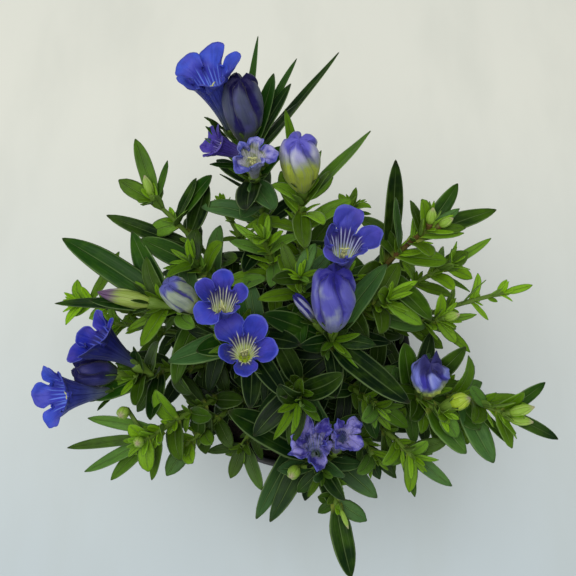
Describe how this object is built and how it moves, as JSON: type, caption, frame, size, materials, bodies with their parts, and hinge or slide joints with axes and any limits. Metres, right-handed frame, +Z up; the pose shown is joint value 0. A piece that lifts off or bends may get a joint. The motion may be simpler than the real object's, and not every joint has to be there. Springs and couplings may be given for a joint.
{
  "type": "potted gentian",
  "caption": "Leafy autumn gentian with blue trumpet flowers and buds, planted in soil in a round black nursery pot that stands on its flat base.",
  "frame": {"origin": "centre of the pot's flat base, on the surface that it stands on", "axes": "+Z up along the pot's axis, +X to the right and +Y away from the viewer as pictured from above and in front"},
  "size_m": [0.239, 0.2321, 0.2611],
  "materials": {
    "pot": "slightly glossy black",
    "soil": "crumbly dark bark and peat",
    "leaves": "deep green with a pale margin, satin",
    "petal_blue": "violet blue petals, satin",
    "petal_pale": "pale lilac petals with folds",
    "bud": "pale green bud, satin",
    "stamens": "pale yellow green, matt"
  },
  "bodies": {
    "root": {"pot": "pot", "soil": "soil", "corolla_back_open": "petal_blue", "corolla_back_closed": "petal_blue", "corolla_back_side": "petal_blue", "corolla_back_pale": "petal_pale", "corolla_back_lilac": "petal_pale", "corolla_right_upright": "petal_blue", "corolla_right_barrel": "petal_blue", "corolla_middle_withered": "petal_pale", "corolla_centre_upper": "petal_blue", "corolla_centre_lower": "petal_blue", "corolla_left_pale": "petal_pale", "bud_left_green": "bud", "corolla_left_deep": "petal_blue", "corolla_left_dark": "petal_blue", "corolla_left_outer": "petal_blue", "corolla_right_ragged": "petal_pale", "bud_right_green": "bud", "corolla_front_withered": "petal_pale", "corolla_front_small": "petal_pale", "stamens_centre_upper": "stamens", "stamens_centre_lower": "stamens", "stamens_right_upright": "stamens", "stamens_back_pale": "stamens", "shoot_back_tall": "leaves", "shoot_back_bud": "leaves", "shoot_mid_right_back": "leaves", "shoot_mid_right_front": "leaves", "shoot_mid_left": "leaves", "shoot_left_bud": "leaves", "shoot_far_left": "leaves", "shoot_right_half_open": "leaves", "shoot_right_bud": "leaves", "shoot_front_withered": "leaves", "shoot_lower_left": "leaves", "shoot_lower_left_front": "leaves", "shoot_far_right": "leaves", "shoot_upper_right": "leaves", "shoot_right_mid": "leaves", "shoot_upper_left": "leaves", "shoot_back_left_low": "leaves", "shoot_left_low": "leaves", "shoot_left_mid": "leaves", "shoot_front_left_low": "leaves", "shoot_front_bottom": "leaves", "shoot_lower_right": "leaves", "shoot_lower_right_low": "leaves", "shoot_right_fine": "leaves", "shoot_right_mid_low": "leaves", "shoot_centre": "leaves", "shoot_centre_back": "leaves", "shoot_back_right_low": "leaves", "shoot_left_upper_mid": "leaves", "shoot_right_centre": "leaves", "shoot_front_centre": "leaves", "shoot_front_right_mid": "leaves"}
  },
  "joints": []
}
